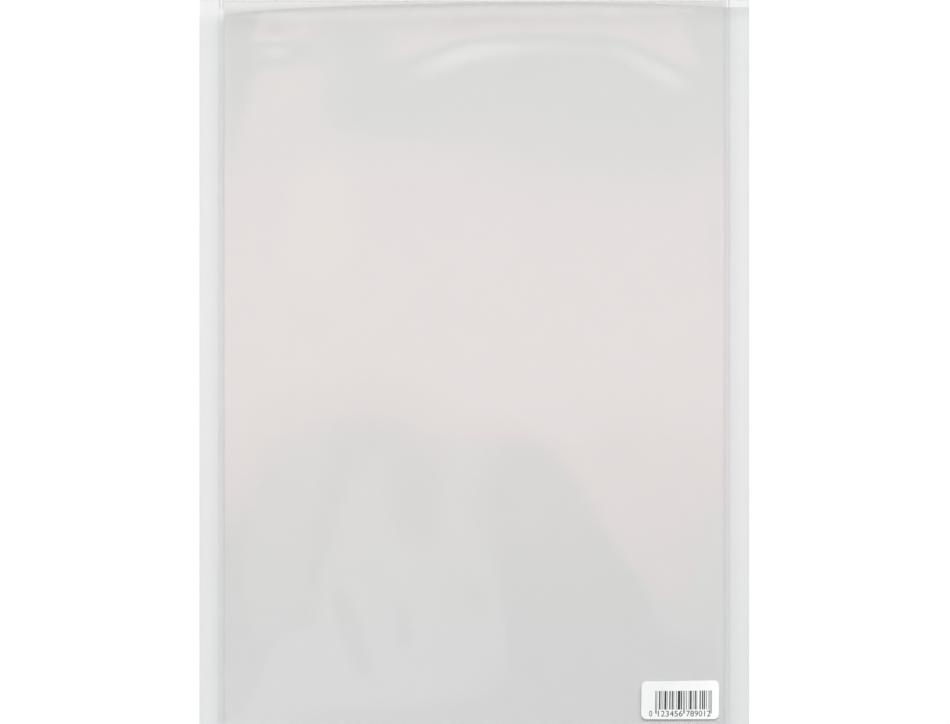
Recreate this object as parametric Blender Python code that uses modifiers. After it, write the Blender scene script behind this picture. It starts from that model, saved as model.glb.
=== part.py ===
"""Clear multi-page document sleeve, lying flat: three welded films with two pockets, and a paper label.

Metres, +Z up, +Y towards the mouth, Z = 0 on the table. The films and seams are all set by the dimensions below.
"""

import math

import bmesh
import bpy

# Driving dimensions.
WIDTH = 0.240  # across the sleeve, edge to edge
BACK_HEIGHT = 0.335  # the back film, bottom edge to top edge
LIP = 0.012  # how far the back film stands above the corners of the mouth
DIVIDER_RISE = 0.0045  # how far the middle film stands above those corners
MOUTH_BOW = 0.0025  # how far the middle of the mouth's edge stands above its corners
FILM = 0.0002  # thickness of each film
CLEAR = 0.0003  # gap between neighbouring pieces
CORNER = 0.003  # radius of the sleeve's corners
PILLOW = 0.007  # how far the front film stands off the divider in the middle
PILLOW_POWER = 4.0  # how square the pillow is across the sleeve
RISE_LENGTH = 0.100  # how far from the bottom weld the pillow reaches its height

# The weld: two ridges, measured in from the sleeve's edge.
RIDGE_OUT = 0.0087
RIDGE_IN = 0.0102
RIDGE_HALF = 0.0003
RIDGE_RISE = 0.00015
SEAM = 0.0109  # width of the fused border

# The paper label on the front film, placed from the inner ridges of the right and bottom welds.
LABEL_IN = 0.003
LABEL_UP = 0.00365
LABEL_WIDTH = 0.034
LABEL_HEIGHT = 0.017
LABEL_CORNER = 0.0024
LABEL_PAPER = 0.0001

# Positions that follow from them.
EDGE = WIDTH / 2
BOTTOM = -BACK_HEIGHT / 2
TOP = BACK_HEIGHT / 2
MOUTH = TOP - LIP
DIVIDER_TOP = MOUTH + DIVIDER_RISE
PANEL_HALF = EDGE - SEAM - CLEAR
PANEL_BOTTOM = BOTTOM + SEAM + CLEAR
HINGE_Y = PANEL_BOTTOM - CLEAR / 2
BACK_Z = FILM / 2
DIVIDER_Z = BACK_Z + FILM + CLEAR
FRONT_Z = DIVIDER_Z + FILM + CLEAR
SEAM_LOW = DIVIDER_Z - FILM / 2
SEAM_HIGH = FRONT_Z + FILM / 2
LABEL_X = EDGE - RIDGE_IN - LABEL_IN - LABEL_WIDTH / 2
LABEL_LOW = BOTTOM + RIDGE_IN + LABEL_UP


def clear_scene():
    for old in list(bpy.data.objects):
        bpy.data.objects.remove(old, do_unlink=True)


def collection(name):
    made = bpy.data.collections.new(name)
    bpy.context.scene.collection.children.link(made)
    return made


def material(name, colour, roughness, alpha):
    mat = bpy.data.materials.new(name)
    mat.use_nodes = True
    shader = mat.node_tree.nodes["Principled BSDF"]
    shader.inputs["Base Color"].default_value = (*colour, 1.0)
    shader.inputs["Roughness"].default_value = roughness
    shader.inputs["Alpha"].default_value = alpha
    return mat


def named(obj, name, where, mat=None):
    """Gives the active object its name, its collection and its own material."""
    obj.name = name
    obj.data.name = name
    for old in list(obj.users_collection):
        old.objects.unlink(obj)
    where.objects.link(obj)
    if mat:
        obj.data.materials.append(mat)
    return obj


def turn_about(obj, point):
    """Moves the object's origin onto its hinge line, leaving the shape where it is."""
    for vertex in obj.data.vertices:
        vertex.co = [vertex.co[axis] - point[axis] for axis in range(3)]
    obj.location = point


def thicken(obj, thickness):
    solid = obj.modifiers.new("thickness", "SOLIDIFY")
    solid.thickness = thickness
    solid.offset = 0.0
    solid.use_even_offset = True


def round_corners(obj, radius):
    corners = obj.modifiers.new("corners", "BEVEL")
    corners.affect = "VERTICES"
    corners.width = radius
    corners.segments = 6
    corners.limit_method = "NONE"


def cut(obj, other, operation):
    step = obj.modifiers.new(other.name, "BOOLEAN")
    step.solver = "EXACT"
    step.operation = operation
    step.object = other


def flat_film(name, where, mat, half_width, low, high, z):
    """A flat rectangle of film, ready for its corners and its thickness."""
    bpy.ops.mesh.primitive_plane_add(size=1)
    obj = named(bpy.context.object, name, where, mat)
    for vertex in obj.data.vertices:
        vertex.co.x *= 2 * half_width
        vertex.co.y = low + (vertex.co.y + 0.5) * (high - low)
        vertex.co.z = z
    return obj


def pillow(x, y):
    """Height of the front film over its welded edges."""
    across = 1 - min(abs(x) / PANEL_HALF, 1.0) ** PILLOW_POWER
    run = min(max(y - PANEL_BOTTOM, 0.0) / RISE_LENGTH, 1.0)
    along = 1 - (1 - run) ** 3
    return PILLOW * across * along


def ridge(centre):
    """The profile of one weld ridge, as points of distance from the sleeve's edge and height."""
    points = []
    for step in range(9):
        angle = math.pi * (1 - step / 8)
        points.append((centre + RIDGE_HALF * math.cos(angle), SEAM_HIGH + RIDGE_RISE * math.sin(angle)))
    return points


def seam_profile():
    outer = [(0.0, SEAM_LOW), (0.0, SEAM_HIGH)]
    inner = [(SEAM, SEAM_HIGH), (SEAM, SEAM_LOW)]
    return outer + ridge(RIDGE_OUT) + ridge(RIDGE_IN) + inner


def seam(name, where, mat, start, end):
    """Sweeps the seam's profile between two ends. start and end place a profile point in the row frame."""
    mesh = bpy.data.meshes.new(name)
    obj = named(bpy.data.objects.new(name, mesh), name, where, mat)
    shape = bmesh.new()
    profile = seam_profile()
    first = shape.faces.new([shape.verts.new(start(u, z)) for u, z in profile])
    swept = bmesh.ops.extrude_face_region(shape, geom=[first], use_keep_orig=True)
    moved = [item for item in swept["geom"] if isinstance(item, bmesh.types.BMVert)]
    targets = {tuple(round(c, 9) for c in start(u, z)): end(u, z) for u, z in profile}
    for vertex in moved:
        near = min(targets, key=lambda key: sum((a - b) ** 2 for a, b in zip(key, vertex.co)))
        vertex.co = targets[near]
    bmesh.ops.recalc_face_normals(shape, faces=shape.faces)
    shape.to_mesh(mesh)
    shape.free()
    return obj


clear_scene()
sleeve = collection("document_sleeve")
cutters = collection("cutters")
cutters.hide_render = True


def as_cutter(obj):
    obj.hide_render = True
    obj.display_type = "WIRE"


# Back film: the whole outline, with the weld lines pressed into the lip above the mouth.
back = flat_film(
    "back_sheet", sleeve, material("back_film", (0.93, 0.94, 0.95), 0.12, 0.3), EDGE, BOTTOM, TOP, BACK_Z
)
round_corners(back, CORNER)
thicken(back, FILM)

lip_low = MOUTH + CLEAR
lip_high = TOP - CLEAR
for side in (-1, 1):
    for place in (RIDGE_OUT, RIDGE_IN):
        bpy.ops.mesh.primitive_cylinder_add(
            vertices=16,
            radius=1,
            depth=lip_high - lip_low,
            location=(side * (EDGE - place), (lip_low + lip_high) / 2, FILM),
            rotation=(math.pi / 2, 0, 0),
        )
        line = named(bpy.context.object, f"lip_line_{side:+d}_{place * 1e4:.0f}", cutters)
        line.scale = (RIDGE_HALF, RIDGE_RISE, 1)
        as_cutter(line)
        cut(back, line, "UNION")

# Middle film, between the two pockets. It turns about its bottom weld with the front film.
divider = flat_film(
    "divider_sheet",
    sleeve,
    material("divider_film", (0.93, 0.94, 0.95), 0.12, 0.3),
    PANEL_HALF,
    PANEL_BOTTOM,
    DIVIDER_TOP,
    DIVIDER_Z,
)
thicken(divider, FILM)
turn_about(divider, (0, HINGE_Y, DIVIDER_Z))

# Front film: pillowed over the pocket, flat at its welds, open and bowed at the mouth.
bpy.ops.mesh.primitive_grid_add(x_subdivisions=32, y_subdivisions=40, size=1)
front = named(bpy.context.object, "front_sheet", sleeve, material("front_film", (0.93, 0.94, 0.95), 0.1, 0.3))
for vertex in front.data.vertices:
    x = vertex.co.x * 2 * PANEL_HALF
    mouth = MOUTH + MOUTH_BOW * (1 - (x / PANEL_HALF) ** 2)
    y = PANEL_BOTTOM + (vertex.co.y + 0.5) * (mouth - PANEL_BOTTOM)
    vertex.co = (x, y, FRONT_Z + pillow(x, y))
thicken(front, FILM)
turn_about(front, (0, HINGE_Y, FRONT_Z))

# Seams: the fused border outside the films, mitred at the bottom corners like a frame.
MITRE = CLEAR * math.sqrt(2)
left = seam(
    "left_seam",
    sleeve,
    material("left_weld", (0.95, 0.95, 0.96), 0.2, 0.3),
    lambda u, z: (-EDGE + u, BOTTOM + u + MITRE, z),
    lambda u, z: (-EDGE + u, MOUTH, z),
)
right = seam(
    "right_seam",
    sleeve,
    material("right_weld", (0.95, 0.95, 0.96), 0.2, 0.3),
    lambda u, z: (EDGE - u, BOTTOM + u + MITRE, z),
    lambda u, z: (EDGE - u, MOUTH, z),
)
bottom = seam(
    "bottom_seam",
    sleeve,
    material("bottom_weld", (0.95, 0.95, 0.96), 0.2, 0.3),
    lambda u, z: (-EDGE + u, BOTTOM + u, z),
    lambda u, z: (EDGE - u, BOTTOM + u, z),
)

# The sleeve's rounded outline trims the seams' outer corners. It stands a little proud of the straight edges.
proud = CLEAR
outline = flat_film("outline", cutters, None, EDGE + proud, BOTTOM - proud, TOP + proud, SEAM_HIGH)
round_corners(outline, CORNER + 2.4 * proud)
thicken(outline, 20 * FILM)
as_cutter(outline)
for piece in (left, right, bottom):
    cut(piece, outline, "INTERSECT")

# Paper label, lying on the front film and following its slope.
bpy.ops.mesh.primitive_plane_add(size=1)
label = named(bpy.context.object, "barcode_label", sleeve, material("label_paper", (0.9, 0.9, 0.89), 0.6, 1.0))
shape = bmesh.new()
shape.from_mesh(label.data)
for vertex in shape.verts:
    vertex.co.x = LABEL_X + vertex.co.x * LABEL_WIDTH
    vertex.co.y = LABEL_LOW + (vertex.co.y + 0.5) * LABEL_HEIGHT
bmesh.ops.bevel(
    shape,
    geom=list(shape.verts),
    offset=LABEL_CORNER,
    offset_type="OFFSET",
    segments=6,
    profile=0.5,
    affect="VERTICES",
)
for step in range(1, 8):
    bmesh.ops.bisect_plane(
        shape,
        geom=shape.verts[:] + shape.edges[:] + shape.faces[:],
        plane_co=(LABEL_X + LABEL_WIDTH * (step / 8 - 0.5), 0, 0),
        plane_no=(1, 0, 0),
    )
for step in range(1, 5):
    bmesh.ops.bisect_plane(
        shape,
        geom=shape.verts[:] + shape.edges[:] + shape.faces[:],
        plane_co=(0, LABEL_LOW + LABEL_HEIGHT * step / 5, 0),
        plane_no=(0, 1, 0),
    )
for vertex in shape.verts:
    over_film = FILM / 2 + CLEAR + LABEL_PAPER / 2
    vertex.co.z = FRONT_Z + pillow(vertex.co.x, vertex.co.y) + over_film
shape.to_mesh(label.data)
shape.free()
thicken(label, LABEL_PAPER)
turn_about(label, (0, HINGE_Y, FRONT_Z))
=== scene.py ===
"""Looks for the clear document sleeve: welded films, their pressed weld lines and a paper label."""

import math

import bpy
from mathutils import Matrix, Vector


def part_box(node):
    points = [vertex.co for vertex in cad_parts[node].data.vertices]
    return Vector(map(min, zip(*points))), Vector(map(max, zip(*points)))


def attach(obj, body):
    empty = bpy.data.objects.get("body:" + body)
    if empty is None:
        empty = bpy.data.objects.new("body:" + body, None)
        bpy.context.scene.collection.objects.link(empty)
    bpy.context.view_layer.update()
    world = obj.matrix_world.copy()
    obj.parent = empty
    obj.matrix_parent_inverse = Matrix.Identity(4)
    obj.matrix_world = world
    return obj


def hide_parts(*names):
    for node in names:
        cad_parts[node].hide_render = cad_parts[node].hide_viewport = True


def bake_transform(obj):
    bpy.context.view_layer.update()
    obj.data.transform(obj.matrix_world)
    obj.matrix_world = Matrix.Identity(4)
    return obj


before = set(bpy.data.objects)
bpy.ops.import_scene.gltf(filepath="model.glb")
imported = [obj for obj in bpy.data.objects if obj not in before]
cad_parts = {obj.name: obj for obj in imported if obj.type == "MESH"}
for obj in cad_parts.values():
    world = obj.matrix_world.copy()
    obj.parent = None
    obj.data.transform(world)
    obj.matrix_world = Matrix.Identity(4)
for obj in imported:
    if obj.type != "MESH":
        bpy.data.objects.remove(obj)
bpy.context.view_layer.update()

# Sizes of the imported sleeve, in metres, read from its own solids.
back_low, back_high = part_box("back_sheet")
front_low, front_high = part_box("front_sheet")
middle_low, middle_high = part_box("divider_sheet")
seam_low, seam_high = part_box("left_seam")
label_low, label_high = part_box("barcode_label")
EDGE = back_high.x
BOTTOM = back_low.y
TOP = back_high.y
MOUTH = seam_high.y
SEAM = seam_high.x - seam_low.x
PANE_HALF = front_high.x
PANE_BOTTOM = front_low.y
MIDDLE_TOP = middle_high.y
MIDDLE_Z = (middle_low.z + middle_high.z) / 2
LABEL_WIDE = label_high.x - label_low.x
LABEL_TALL = label_high.y - label_low.y

# The films, in metres. The pillow is lower than the part's own,
# so that the slack on top of it stays in the part's box.
FILM = 0.0002
MIDDLE_FILM = 0.00018
CORNER = 0.003
FRONT_Z = 0.0011
PILLOW = 0.0064
PILLOW_POWER = 4.0
RISE_LENGTH = 0.100
MOUTH_BOW = 0.0025
MOUTH_SLANT = 0.0015
TUCK = 0.0001  # how far the front and middle films reach over the fused border
FILM_HALF = EDGE - SEAM + TUCK
FILM_BOTTOM = BOTTOM + SEAM - TUCK
SIDE_HOLD = 0.02  # how far from a side weld the slack is at its full height
BOTTOM_HOLD = 0.03
ROW_CROWD = 1.6  # how strongly the rows of points crowd towards a film's cut edge

# Slack in the front film: dents and swells as middle x and y, half sizes, height and turn in degrees.
# Lengths are in millimetres.
# The last seven are the swollen corner, the flared mouth and the creases just behind it.
FRONT_SLACK = (
    (-26, -92, 50, 45, -2.7, 0),
    (90, -128, 28, 27, 1.5, 0),
    (10, -110, 20, 44, 1.5, 4),
    (58, -74, 46, 9, 0.55, -59),
    (-16, -66, 14, 20, 0.6, 10),
    (16, -28, 26, 18, 0.6, -8),
    (-64, -112, 24, 8, 0.5, -66),
    (-36, -112, 6, 14, 0.35, 14),
    (14, -116, 7, 14, 0.4, 15),
    (-92, -118, 10, 12, 0.6, 0),
    (60, 55, 50, 30, 0.6, 0),
    (-52, 96, 26, 16, 0.35, 0),
    (-92, 150, 22, 26, 1.8, 0),
    (0, 165, 120, 9, 0.8, 0),
    (-87, 141.5, 8, 5, -0.75, 5),
    (-14, 138.5, 15, 6.2, -0.7, 24),
    (12, 143, 14, 5.5, -0.45, 4),
    (44, 144, 18, 5.5, -0.35, -6),
    (82, 134, 16, 6.0, -0.7, -30),
)

# Painted shade along the cut edges of the films: where it starts, and how fast it fades.
EDGE_SHADE_START = 0.001
EDGE_SHADE_FADE = 0.0028
# Painted shadow of the mouth's edge on the middle film: how far above the edge it lies, and its half
# width.
MOUTH_SHADOW_ABOVE = 0.0008
MOUTH_SHADOW_HALF = 0.0013
# Width of the band of painted shade along the middle film's own cut edge.
CUT_EDGE = 0.0004

# The fused border and its pressed lines.
# A line is given by its distance in from the sleeve's edge and by its corner.
SEAM_LOW = FILM + 0.00002
SEAM_TOP = 0.0012
OUTER_LINE = 0.0087
OUTER_LINE_CORNER = 0.0026
INNER_LINE = 0.0102
INNER_LINE_CORNER = 0.0011
LINE_HALF = 0.0003
LINE_FLAT = 0.5  # height of a line's section, as a share of its width
LINE_STEP = 0.0006  # half the length in which a line steps down from the border to the lip
CORNER_STEPS = 6

# The label and its print. Bar widths and the gaps after them are in units, and mean nothing.
LABEL_CORNER = 0.0024
LABEL_PAPER = 0.0001
LABEL_LIFT = 0.00015
LABEL_COLUMNS = 24
LABEL_ROWS = 12
INK = 0.00001
INK_LIFT = 0.000214
BAR_UNIT = 0.000265
BARS_LEFT = label_low.x + 0.0061
BARS_HIGH = label_high.y - 0.0044
BARS_LOW = label_high.y - 0.0127
BARS_LONG_LOW = label_high.y - 0.0145
BAR_WIDTHS = (
    (1, 1), (1, 3), (2, 1), (1, 2), (1, 2), (3, 1), (1, 3), (2, 2), (2, 1), (1, 3),
    (1, 2), (4, 1), (2, 2), (1, 1), (1, 2), (1, 3), (1, 1), (3, 2), (1, 2), (2, 1),
    (1, 4), (2, 2), (2, 1), (2, 2), (1, 3), (1, 1), (1, 1), (1, 1),
)
LONG_BARS = (0, 1, 13, 14, 26, 27)
FIGURES_LOW = label_high.y - 0.0158
FIGURES_TALL = 0.0026
FIGURES = (
    ("0", label_low.x + 0.0035, label_low.x + 0.0048),
    ("123456", label_low.x + 0.0073, label_low.x + 0.0181),
    ("789012", label_low.x + 0.0197, label_low.x + 0.0303),
)

# The camera, straight over the sleeve.
PICTURE_WIDE = 950
PIXELS_PER_METRE = 2289.6
REACH = 1.0
SCALE_Z = 0.0006  # the height over the table at which that scale holds
SENSOR = 36


class Socket:
    """A node's output, so that shader maths reads as an expression."""

    def __init__(self, nodes, out):
        self.nodes = nodes
        self.out = out

    def maths(self, operation, a, b):
        return self.nodes.add("ShaderNodeMath", {"operation": operation}, {0: a, 1: b})

    def __add__(self, other):
        return self.maths("ADD", self, other)

    def __radd__(self, other):
        return self.maths("ADD", other, self)

    def __sub__(self, other):
        return self.maths("SUBTRACT", self, other)

    def __rsub__(self, other):
        return self.maths("SUBTRACT", other, self)

    def __mul__(self, other):
        return self.maths("MULTIPLY", self, other)

    def __rmul__(self, other):
        return self.maths("MULTIPLY", other, self)

    def __truediv__(self, other):
        return self.maths("DIVIDE", self, other)

    def __pow__(self, other):
        return self.maths("POWER", self, other)

    def size(self):
        return self.maths("ABSOLUTE", self, 0.0)

    def least(self, other):
        return self.maths("MINIMUM", self, other)

    def most(self, other):
        return self.maths("MAXIMUM", self, other)

    def step(self, low, high):
        """0 below low, 1 above high, smooth between."""
        return self.nodes.add(
            "ShaderNodeMapRange",
            {"interpolation_type": "SMOOTHSTEP"},
            {"Value": self, "From Min": low, "From Max": high},
        )


class Nodes:
    """The node tree of a material or of the world."""

    def __init__(self, owner):
        owner.use_nodes = True
        self.tree = owner.node_tree
        self.tree.nodes.clear()

    def add(self, kind, settings=None, values=None, out=0):
        made = self.tree.nodes.new(kind)
        for name, value in (settings or {}).items():
            if name == "stops":
                for spot, (place, colour) in enumerate(value):
                    ramp = made.color_ramp.elements
                    stop = ramp[spot] if spot < len(ramp) else ramp.new(place)
                    stop.position = place
                    stop.color = colour
            else:
                setattr(made, name, value)
        for name, value in (values or {}).items():
            if isinstance(value, Socket):
                self.tree.links.new(value.out, made.inputs[name])
            else:
                made.inputs[name].default_value = value
        return Socket(self, made.outputs[out])

    def outputs(self, kind, values, names):
        """Adds one node and gives several of its outputs."""
        made = self.add(kind, None, values).out.node
        return [Socket(self, made.outputs[name]) for name in names]

    def finish(self, surface, output="ShaderNodeOutputMaterial"):
        made = self.tree.nodes.new(output)
        self.tree.links.new(surface.out, made.inputs["Surface"])


def clear_film(name, tint, gloss, grey=None, shine=0.04, worn=None):
    """Clear glossy vinyl, which mirrors more towards a glancing view.

    Grey gives the share of painted shade, a dark grey mixed into the film, and worn the share that is
    pressed away to nothing.
    """
    mat = bpy.data.materials.new(name)
    nodes = Nodes(mat)
    spot = nodes.add("ShaderNodeTexCoord", out="Object")
    x, y = nodes.outputs("ShaderNodeSeparateXYZ", {"Vector": spot}, ("X", "Y"))
    scuffs = nodes.add(
        "ShaderNodeTexNoise", None, {"Vector": spot, "Scale": 90.0, "Detail": 2.0, "Roughness": 0.6}
    )
    mirror = nodes.add(
        "ShaderNodeBsdfPrincipled",
        None,
        {"Base Color": (0.97, 0.97, 0.98, 1), "Metallic": 1.0, "Roughness": gloss + scuffs * 0.05},
    )
    through = nodes.add("ShaderNodeBsdfTransparent", None, {"Color": (*tint, 1)})
    glance = nodes.add("ShaderNodeLayerWeight", None, {"Blend": 0.5}, "Facing")
    mirrored = shine + (1 - shine) * glance**5
    surface = nodes.add("ShaderNodeMixShader", None, {0: mirrored, 1: through, 2: mirror})
    # Painted shade: a dark matt grey mixed in by the grey share.
    if grey:
        painted_shade_grey = nodes.add(
            "ShaderNodeBsdfPrincipled",
            None,
            {"Base Color": (0.12, 0.12, 0.125, 1), "Roughness": 0.3 + scuffs * 0.2},
        )
        surface = nodes.add("ShaderNodeMixShader", None, {0: grey(nodes, x, y), 1: surface, 2: painted_shade_grey})
    if worn:
        nothing = nodes.add("ShaderNodeBsdfTransparent")
        surface = nodes.add("ShaderNodeMixShader", None, {0: worn(nodes, x, y), 1: surface, 2: nothing})
    nodes.finish(surface)
    return mat


def border_painted_shade(nodes, x, y):
    """Painted shade: the border is greyest beside the weld, and greyer at the mouth."""
    inset = (EDGE - x.size()).least(y - BOTTOM)
    weld = inset.step(0.003, 0.0090) * 0.022 + inset.step(0.0076, 0.0088) * 0.019
    return 0.003 + weld + y.step(MOUTH - 0.005, MOUTH) * 0.022


def border_worn(nodes, x, y):
    """The border's left end fades into the back film at the mouth."""
    return (1 - x.step(-0.002, 0.002)) * y.step(MOUTH - 0.006, MOUTH)


def lip_line_painted_shade(nodes, x, y):
    """Painted shade on the pressed lines where they run on over the lip."""
    return y.step(MOUTH, MOUTH + 0.002) * 0.055


def edge_painted_shade(nodes, x, y):
    """The films carry painted shade along their cut edges and painted shadow under the mouth's edge, as
    their rim attribute says.
    """
    return nodes.add("ShaderNodeAttribute", {"attribute_name": "rim"}, None, "Fac") * 0.094


def label_paper():
    """Coated white label paper with a faint fibre and a cloudy tone."""
    mat = bpy.data.materials.new("label_paper")
    nodes = Nodes(mat)
    spot = nodes.add("ShaderNodeTexCoord", out="Object")
    fibre = nodes.add("ShaderNodeTexNoise", None, {"Vector": spot, "Scale": 2600.0, "Detail": 4.0})
    cloud = nodes.add("ShaderNodeTexNoise", None, {"Vector": spot, "Scale": 160.0, "Detail": 2.0})
    tone = nodes.add(
        "ShaderNodeValToRGB",
        {"stops": ((0.3, (0.90, 0.90, 0.905, 1)), (0.7, (0.94, 0.94, 0.945, 1)))},
        {"Fac": cloud * 0.7 + fibre * 0.3},
    )
    nap = nodes.add("ShaderNodeBump", None, {"Strength": 0.3, "Distance": 0.00002, "Height": fibre})
    paper = nodes.add(
        "ShaderNodeBsdfPrincipled",
        None,
        {"Base Color": tone, "Roughness": 0.42 + fibre * 0.2, "Normal": nap},
    )
    nodes.finish(paper)
    return mat


def label_ink():
    """Black thermal print, a little uneven."""
    mat = bpy.data.materials.new("label_ink")
    nodes = Nodes(mat)
    spot = nodes.add("ShaderNodeTexCoord", out="Object")
    grain = nodes.add("ShaderNodeTexNoise", None, {"Vector": spot, "Scale": 3200.0, "Detail": 2.0})
    tone = nodes.add(
        "ShaderNodeValToRGB",
        {"stops": ((0.35, (0.012, 0.012, 0.014, 1)), (0.75, (0.07, 0.07, 0.075, 1)))},
        {"Fac": grain},
    )
    nodes.finish(
        nodes.add("ShaderNodeBsdfPrincipled", None, {"Base Color": tone, "Roughness": 0.5 + grain * 0.2})
    )
    return mat


def white_table():
    """The white surface under the sleeve. It keeps the sleeve's shadow."""
    mat = bpy.data.materials.new("white_table")
    nodes = Nodes(mat)
    seen, mirrored = nodes.outputs("ShaderNodeLightPath", None, ("Is Camera Ray", "Is Glossy Ray"))
    matt = nodes.add("ShaderNodeBsdfDiffuse", None, {"Color": (0.82, 0.82, 0.82, 1)})
    lift = nodes.add("ShaderNodeEmission", None, {"Color": (1, 1, 1, 1), "Strength": 0.13})
    white = nodes.add("ShaderNodeAddShader", None, {0: matt, 1: lift})
    nodes.finish(nodes.add("ShaderNodeMixShader", None, {0: seen.most(mirrored), 1: matt, 2: white}))
    return mat


def studio():
    """A dim room with a long warm panel and a small amber lamp overhead.

    Three pale strips lie before the panel, and a wall that grows bright lies beyond the mouth.

    Directions are slopes from straight up: across to the right, and along towards the mouth.
    """
    world = bpy.data.worlds.new("studio")
    bpy.context.scene.world = world
    nodes = Nodes(world)
    way = nodes.add("ShaderNodeTexCoord", out="Generated")
    x, y, z = nodes.outputs("ShaderNodeSeparateXYZ", {"Vector": way}, ("X", "Y", "Z"))
    up = z.most(0.05)
    across = x / up
    along = y / up
    room = (0.185, 0.212, 0.208, 1)
    pale = (0.52, 0.57, 0.53, 1)
    dim = (0.92, 0.53, 0.52, 1)
    warm = (1.08, 0.76, 0.74, 1)
    amber = (1.4, 1.04, 0.8, 1)
    wall = (0.43, 0.50, 0.41, 1)
    glow = (1.6, 1.6, 1.6, 1)
    far = (0.3, 0.3, 0.3, 1)
    tones = (
        (-0.085, room),
        (-0.065, dim),
        (-0.045, dim),
        (-0.028, warm),
        (0.09, warm),
        (0.12, wall),
        (0.2, wall),
        (0.3, glow),
        (0.5, glow),
        (0.6, far),
    )
    stops = [((place + 0.5) * 0.8, tone) for place, tone in tones]
    colour = nodes.add("ShaderNodeValToRGB", {"stops": stops}, {"Fac": (along + 0.5) * 0.8})

    def over(share, tone):
        return nodes.add("ShaderNodeMix", {"data_type": "RGBA"}, {0: share, 6: colour, 7: tone}, 2)

    near = along.step(-0.2, -0.13)
    left_strip = across.step(-0.34, -0.28) * (1 - across.step(-0.15, -0.115)) * near * 0.6
    side_strip = across.step(0.14, 0.24) * (1 - across.step(0.6, 0.8)) * near
    slanted = across - along * 0.8
    middle_strip = slanted.step(-0.005, 0.015) * (1 - across.step(-0.04, -0.01)) * along.step(-0.5, -0.3)
    colour = over(across.size().step(0.55, 0.75), room)
    colour = over((left_strip + middle_strip + side_strip) * (1 - along.step(-0.085, -0.06)), pale)
    lamp = ((across + 0.2) / 0.1) ** 2 + ((along - 0.048) / 0.014) ** 2
    colour = over(1 - lamp.step(0.0, 1.6), amber)
    light = nodes.add("ShaderNodeBackground", None, {"Color": colour})
    white = nodes.add("ShaderNodeBackground", None, {"Color": (1, 1, 1, 1)})
    seen = nodes.add("ShaderNodeLightPath", out="Is Camera Ray")
    sky = nodes.add("ShaderNodeMixShader", None, {0: seen, 1: light, 2: white})
    nodes.finish(sky, "ShaderNodeOutputWorld")


def active(name):
    """Names the object that an operator has just made."""
    obj = bpy.context.object
    obj.name = name
    obj.data.name = name
    return obj


def thicken(obj, thickness):
    bpy.context.view_layer.objects.active = obj
    wall = obj.modifiers.new("wall", "SOLIDIFY")
    wall.thickness = thickness
    wall.offset = 0.0
    bpy.ops.object.modifier_apply(modifier=wall.name)


def smooth(obj, angle=40):
    bpy.ops.object.select_all(action="DESELECT")
    obj.select_set(True)
    bpy.context.view_layer.objects.active = obj
    bpy.ops.object.shade_smooth_by_angle(angle=math.radians(angle))


def paint(obj, mat):
    obj.data.materials.clear()
    obj.data.materials.append(mat)


def flat_plane(name):
    """A plain square of film, one metre across until it is laid."""
    bpy.ops.object.select_all(action="DESELECT")
    bpy.ops.mesh.primitive_plane_add(size=1)
    return active(name)


def lattice_sheet(name, columns, rows):
    """A square of film in fine squares, one metre across until it is laid."""
    bpy.ops.object.select_all(action="DESELECT")
    bpy.ops.mesh.primitive_grid_add(x_subdivisions=columns, y_subdivisions=rows, size=1)
    return active(name)


def mouth_edge(x):
    """The cut edge of the front film: bowed, and a little out of square, as in the photo."""
    run = x / PANE_HALF
    return MOUTH + MOUTH_BOW * (1 - min(1.0, abs(run)) ** 2) + MOUTH_SLANT * run


def pillow(x, y):
    across = 1 - min(abs(x) / PANE_HALF, 1.0) ** PILLOW_POWER
    run = min(max(y - PANE_BOTTOM, 0.0) / RISE_LENGTH, 1.0)
    return PILLOW * across * (1 - (1 - run) ** 3)


def slack(x, y):
    """What the dents and swells add to the front film, fading out towards its welds."""
    total = 0.0
    for middle_x, middle_y, half_x, half_y, height, turn in FRONT_SLACK:
        cosine = math.cos(math.radians(turn))
        sine = math.sin(math.radians(turn))
        right = x * 1000 - middle_x
        up = y * 1000 - middle_y
        a = (right * cosine + up * sine) / half_x
        b = (up * cosine - right * sine) / half_y
        total += height * math.exp(-(a * a + b * b) / 2)
    from_side = min(1.0, max(0.0, (PANE_HALF - abs(x)) / SIDE_HOLD))
    from_bottom = min(1.0, max(0.0, (y - PANE_BOTTOM) / BOTTOM_HOLD))
    hold = from_side * from_bottom
    return total * 0.001 * hold * hold * (3 - 2 * hold)


def front_height(x, y):
    return FRONT_Z + pillow(x, y) + slack(x, y)


def open_from_welds(obj):
    """Folds the film in half along its middle, bakes its placement into its points, and unfolds it
    again.
    """
    unfolded = [v.co.copy() for v in obj.data.vertices]
    for v in obj.data.vertices:
        v.co.x = abs(v.co.x)
    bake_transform(obj)
    for v, co in zip(obj.data.vertices, unfolded):
        v.co = co


def lay_rows(obj, edge, height):
    """Lays a lattice sheet between the welds, with its rows crowding towards its cut edge."""
    for v in obj.data.vertices:
        x = v.co.x * 2 * FILM_HALF
        y = FILM_BOTTOM + (1 - (0.5 - v.co.y) ** ROW_CROWD) * (edge(x) - FILM_BOTTOM)
        v.co = (x, y, height(x, y))


def shade_rim(obj, grey):
    """Keeps the share of painted shade at each point of a film, from its place."""
    rim = obj.data.attributes.new("rim", "FLOAT", "POINT")
    for v in obj.data.vertices:
        rim.data[v.index].value = grey(v.co.x, v.co.y)


def front_edge_shade(x, y):
    """Painted shade: greyest just inside the cut edge, less so at its ends, and fading behind it."""
    behind = mouth_edge(x) - y
    middle = 1 - min(1.0, abs(x) / PANE_HALF) ** 4
    start = 0.5 + 0.5 * min(1.0, behind / EDGE_SHADE_START)
    return (0.35 + 0.8 * middle) * start * math.exp(-behind / EDGE_SHADE_FADE)


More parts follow.
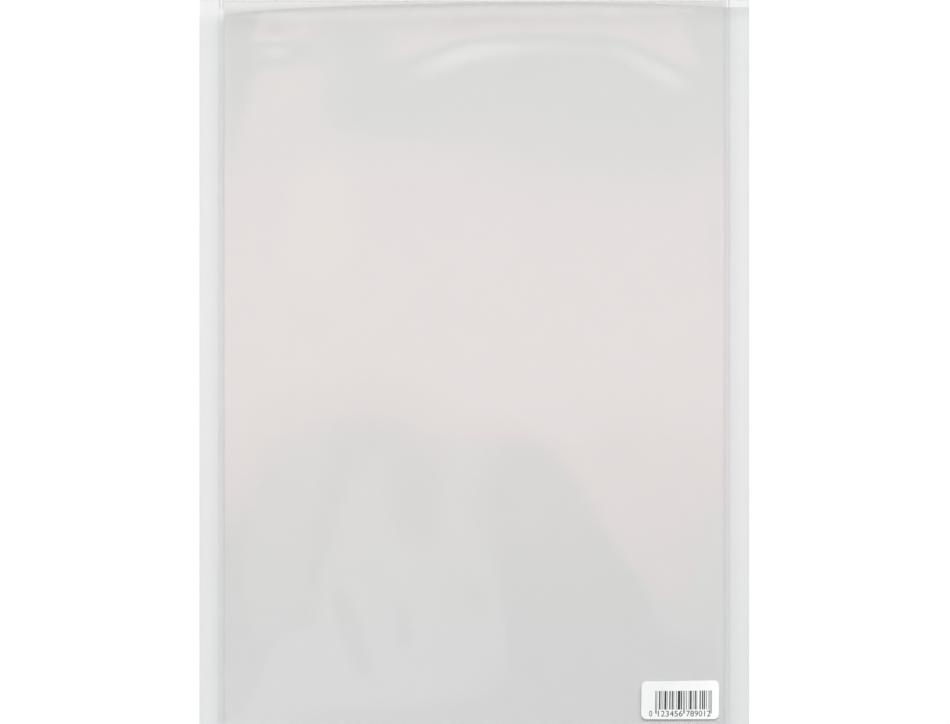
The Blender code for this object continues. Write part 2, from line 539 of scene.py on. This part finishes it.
def middle_edge_shade(x, y):
    """Painted shadow under the mouth's edge, and painted shade along its own cut edge."""
    mouth_shadow = 0.45 * math.exp(-(((y - mouth_edge(x) - MOUTH_SHADOW_ABOVE) / MOUTH_SHADOW_HALF) ** 2))
    cut = 0.9 if y > MIDDLE_TOP - CUT_EDGE else 0.0
    return max(mouth_shadow, cut)


def front_pane():
    """The pillowed front film."""
    obj = lattice_sheet("front_pane", 110, 150)
    lay_rows(obj, mouth_edge, front_height)
    shade_rim(obj, front_edge_shade)
    thicken(obj, FILM)
    smooth(obj)
    return obj


def middle_pane():
    """The flat film between the two pockets."""
    obj = lattice_sheet("middle_pane", 60, 110)
    lay_rows(obj, lambda x: MIDDLE_TOP, lambda x, y: MIDDLE_Z)
    shade_rim(obj, middle_edge_shade)
    thicken(obj, MIDDLE_FILM)
    smooth(obj)
    return obj


def back_pane():
    """The tallest film, with round corners."""
    obj = flat_plane("back_pane")
    for v in obj.data.vertices:
        v.co = (v.co.x * 2 * EDGE, v.co.y * (TOP - BOTTOM), FILM / 2)
    bpy.ops.object.mode_set(mode="EDIT")
    bpy.ops.mesh.select_all(action="SELECT")
    bpy.ops.mesh.bevel(offset=CORNER, segments=CORNER_STEPS, affect="VERTICES")
    bpy.ops.object.mode_set(mode="OBJECT")
    thicken(obj, FILM)
    smooth(obj)
    return obj


def weld_border():
    """The fused border: a flat U of film round the pocket, open at the mouth."""
    inner = EDGE - SEAM
    floor = BOTTOM + SEAM
    obj = flat_plane("weld_border")
    for v in obj.data.vertices:
        y = BOTTOM + (v.co.y + 0.5) * (MOUTH - BOTTOM)
        v.co = (v.co.x * 2 * EDGE, y, (SEAM_LOW + SEAM_TOP) / 2)
    bpy.ops.object.mode_set(mode="EDIT")
    bpy.ops.mesh.select_mode(type="VERT")
    bpy.ops.mesh.select_all(action="DESELECT")
    bpy.ops.object.mode_set(mode="OBJECT")
    for v in obj.data.vertices:
        v.select = v.co.y < 0
    bpy.ops.object.mode_set(mode="EDIT")
    bpy.ops.mesh.bevel(offset=CORNER, segments=CORNER_STEPS, affect="VERTICES")
    cuts = (((-inner, 0, 0), (1, 0, 0)), ((inner, 0, 0), (1, 0, 0)), ((0, floor, 0), (0, 1, 0)))
    for point, across in cuts:
        bpy.ops.mesh.select_all(action="SELECT")
        bpy.ops.mesh.bisect(plane_co=point, plane_no=across)
    bpy.ops.mesh.select_all(action="DESELECT")
    bpy.ops.mesh.select_mode(type="FACE")
    bpy.ops.object.mode_set(mode="OBJECT")
    for face in obj.data.polygons:
        face.select = abs(face.center.x) < inner and face.center.y > floor
    bpy.ops.object.mode_set(mode="EDIT")
    bpy.ops.mesh.delete(type="FACE")
    bpy.ops.mesh.select_mode(type="VERT")
    bpy.ops.object.mode_set(mode="OBJECT")
    for v in obj.data.vertices:
        if v.co.y > MOUTH - 1e-5:
            v.co.y = MOUTH + MOUTH_SLANT * max(0.0, v.co.x / inner)
    thicken(obj, SEAM_TOP - SEAM_LOW)
    return obj


def weld_bead(name, inset, corner):
    """One pressed line of the weld: over the lip, down one side, along the bottom and up the other."""
    half = EDGE - inset
    low = BOTTOM + inset
    sides = []
    for side, mouth in ((-1, MOUTH), (1, MOUTH + MOUTH_SLANT)):
        path = [
            (side * half, TOP - LINE_HALF, FILM),
            (side * half, mouth + LINE_STEP, FILM),
            (side * half, mouth - LINE_STEP, SEAM_TOP),
        ]
        for step in range(CORNER_STEPS + 1):
            turn = step / CORNER_STEPS * math.pi / 2
            x = half - corner + corner * math.cos(turn)
            y = low + corner - corner * math.sin(turn)
            path.append((side * x, y, SEAM_TOP))
        sides.append(path)
    path = sides[0] + sides[1][::-1]
    bpy.ops.object.select_all(action="DESELECT")
    bpy.ops.curve.primitive_nurbs_path_add()
    obj = active(name)
    line = obj.data.splines[0]
    line.type = "POLY"
    line.points.add(len(path) - len(line.points))
    for point, (x, y, z) in zip(line.points, path):
        point.co = (x, y, z / LINE_FLAT, 1)
    obj.data.bevel_depth = LINE_HALF
    obj.data.bevel_resolution = 4
    obj.data.use_fill_caps = True
    bpy.ops.object.convert(target="MESH")
    obj = active(name)
    for v in obj.data.vertices:
        v.co.z *= LINE_FLAT
    smooth(obj, 60)
    return obj


def on_film(x, y, lift):
    """A height over the front film's face."""
    return front_height(x, y) + FILM / 2 + lift


def label_sheet():
    """The paper label, cut fine enough to follow the film under it."""
    obj = flat_plane("label_sheet")
    for v in obj.data.vertices:
        x = label_low.x + (v.co.x + 0.5) * LABEL_WIDE
        y = label_low.y + (v.co.y + 0.5) * LABEL_TALL
        v.co = (x, y, 0)
    bpy.ops.object.mode_set(mode="EDIT")
    bpy.ops.mesh.select_all(action="SELECT")
    bpy.ops.mesh.bevel(offset=LABEL_CORNER, segments=8, affect="VERTICES")
    for step in range(1, LABEL_COLUMNS):
        x = label_low.x + LABEL_WIDE * step / LABEL_COLUMNS
        bpy.ops.mesh.select_all(action="SELECT")
        bpy.ops.mesh.bisect(plane_co=(x, 0, 0), plane_no=(1, 0, 0))
    for step in range(1, LABEL_ROWS):
        y = label_low.y + LABEL_TALL * step / LABEL_ROWS
        bpy.ops.mesh.select_all(action="SELECT")
        bpy.ops.mesh.bisect(plane_co=(0, y, 0), plane_no=(0, 1, 0))
    bpy.ops.object.mode_set(mode="OBJECT")
    for v in obj.data.vertices:
        v.co.z = on_film(v.co.x, v.co.y, LABEL_LIFT)
    thicken(obj, LABEL_PAPER)
    smooth(obj)
    return obj


def join(pieces, name):
    bpy.ops.object.select_all(action="DESELECT")
    for piece in pieces:
        piece.select_set(True)
    bpy.context.view_layer.objects.active = pieces[0]
    bpy.ops.object.join()
    return active(name)


def lay_on_label(obj):
    """Thin ink on the label's face, following the film under it."""
    for v in obj.data.vertices:
        v.co.z = on_film(v.co.x, v.co.y, INK_LIFT)
    thicken(obj, INK)
    return obj


def code_bars():
    """A row of bars of mixed widths, with longer pairs at both ends and in the middle."""
    bars = []
    left = BARS_LEFT
    for turn, (width, gap) in enumerate(BAR_WIDTHS):
        low = BARS_LONG_LOW if turn in LONG_BARS else BARS_LOW
        bar = flat_plane("bar")
        for v in bar.data.vertices:
            v.co.x = left + (v.co.x + 0.5) * width * BAR_UNIT
            v.co.y = low + (v.co.y + 0.5) * (BARS_HIGH - low)
        left += (width + gap) * BAR_UNIT
        bars.append(bar)
    obj = join(bars, "label_bars")
    bpy.ops.object.mode_set(mode="EDIT")
    bpy.ops.mesh.select_all(action="SELECT")
    bpy.ops.mesh.subdivide(number_cuts=5)
    bpy.ops.object.mode_set(mode="OBJECT")
    return lay_on_label(obj)


def code_figures():
    """Plain counting figures under the bars, each group fitted to its place."""
    groups = []
    for figures, left, right in FIGURES:
        bpy.ops.object.select_all(action="DESELECT")
        bpy.ops.object.text_add()
        bpy.context.object.data.body = figures
        bpy.context.object.data.resolution_u = 4
        bpy.ops.object.convert(target="MESH")
        group = bpy.context.object
        xs = [v.co.x for v in group.data.vertices]
        ys = [v.co.y for v in group.data.vertices]
        for v in group.data.vertices:
            v.co.x = left + (v.co.x - min(xs)) / (max(xs) - min(xs)) * (right - left)
            v.co.y = FIGURES_LOW + (v.co.y - min(ys)) / (max(ys) - min(ys)) * FIGURES_TALL
        groups.append(group)
    obj = join(groups, "label_figures")
    bpy.ops.object.mode_set(mode="EDIT")
    bpy.ops.mesh.select_all(action="SELECT")
    bpy.ops.mesh.remove_doubles(threshold=1e-6)
    bpy.ops.object.mode_set(mode="OBJECT")
    return lay_on_label(obj)


# The table, the room and the camera.
bpy.ops.object.select_all(action="DESELECT")
bpy.ops.mesh.primitive_plane_add(size=6, location=(0, 0, -0.00005))
table = active("table")
table.data.materials.append(white_table())
studio()
sun = bpy.data.lights.new("key", "SUN")
sun.energy = 2.68
sun.color = (0.985, 1.0, 1.0)
sun.angle = math.radians(25)
key = bpy.data.objects.new("key", sun)
key.rotation_euler = (math.radians(-31), 0, 0)
# The films mirror the room alone, because the lamp's own disc would clip to white in them.
key.visible_glossy = False
bpy.context.scene.collection.objects.link(key)

lens = bpy.data.cameras.new("camera")
lens.sensor_width = SENSOR
lens.lens = PIXELS_PER_METRE * SENSOR / PICTURE_WIDE * (REACH - SCALE_Z)
lens.clip_start = 0.01
camera = bpy.data.objects.new("camera", lens)
camera.location = (0.00033, 0.0022, REACH)
bpy.context.scene.collection.objects.link(camera)
bpy.context.scene.camera = camera
bpy.context.scene.view_settings.view_transform = "Standard"
bpy.context.scene.cycles.transparent_max_bounces = 32

# The pieces.
film_front = clear_film("front_film", (0.983, 0.983, 0.983), 0.02, edge_painted_shade)
film_middle = clear_film("middle_film", (0.9875, 0.9875, 0.9875), 0.15, edge_painted_shade)
film_back = clear_film("back_film", (0.961, 0.961, 0.961), 0.15)
film_weld = clear_film("welded_film", (0.9845, 0.987, 0.99), 0.2, border_painted_shade, 0.025, border_worn)
film_bead = clear_film("pressed_line", (0.998, 0.998, 0.998), 0.2, lip_line_painted_shade, 0.012)

back = back_pane()
paint(back, film_back)
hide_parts("back_sheet")
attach(back, "pocket_back")

border = weld_border()
paint(border, film_weld)
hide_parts("left_seam", "right_seam", "bottom_seam")
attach(border, "pocket_back")

beads = (
    ("outer_bead", OUTER_LINE, OUTER_LINE_CORNER),
    ("inner_bead", INNER_LINE, INNER_LINE_CORNER),
)
for name, inset, corner in beads:
    bead = weld_bead(name, inset, corner)
    paint(bead, film_bead)
    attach(bead, "pocket_back")

middle = middle_pane()
paint(middle, film_middle)
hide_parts("divider_sheet")
open_from_welds(middle)

front = front_pane()
paint(front, film_front)
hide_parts("front_sheet")
open_from_welds(front)

label = label_sheet()
paint(label, label_paper())
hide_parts("barcode_label")
open_from_welds(label)

ink = label_ink()
for print_piece in (code_bars(), code_figures()):
    paint(print_piece, ink)
    open_from_welds(print_piece)
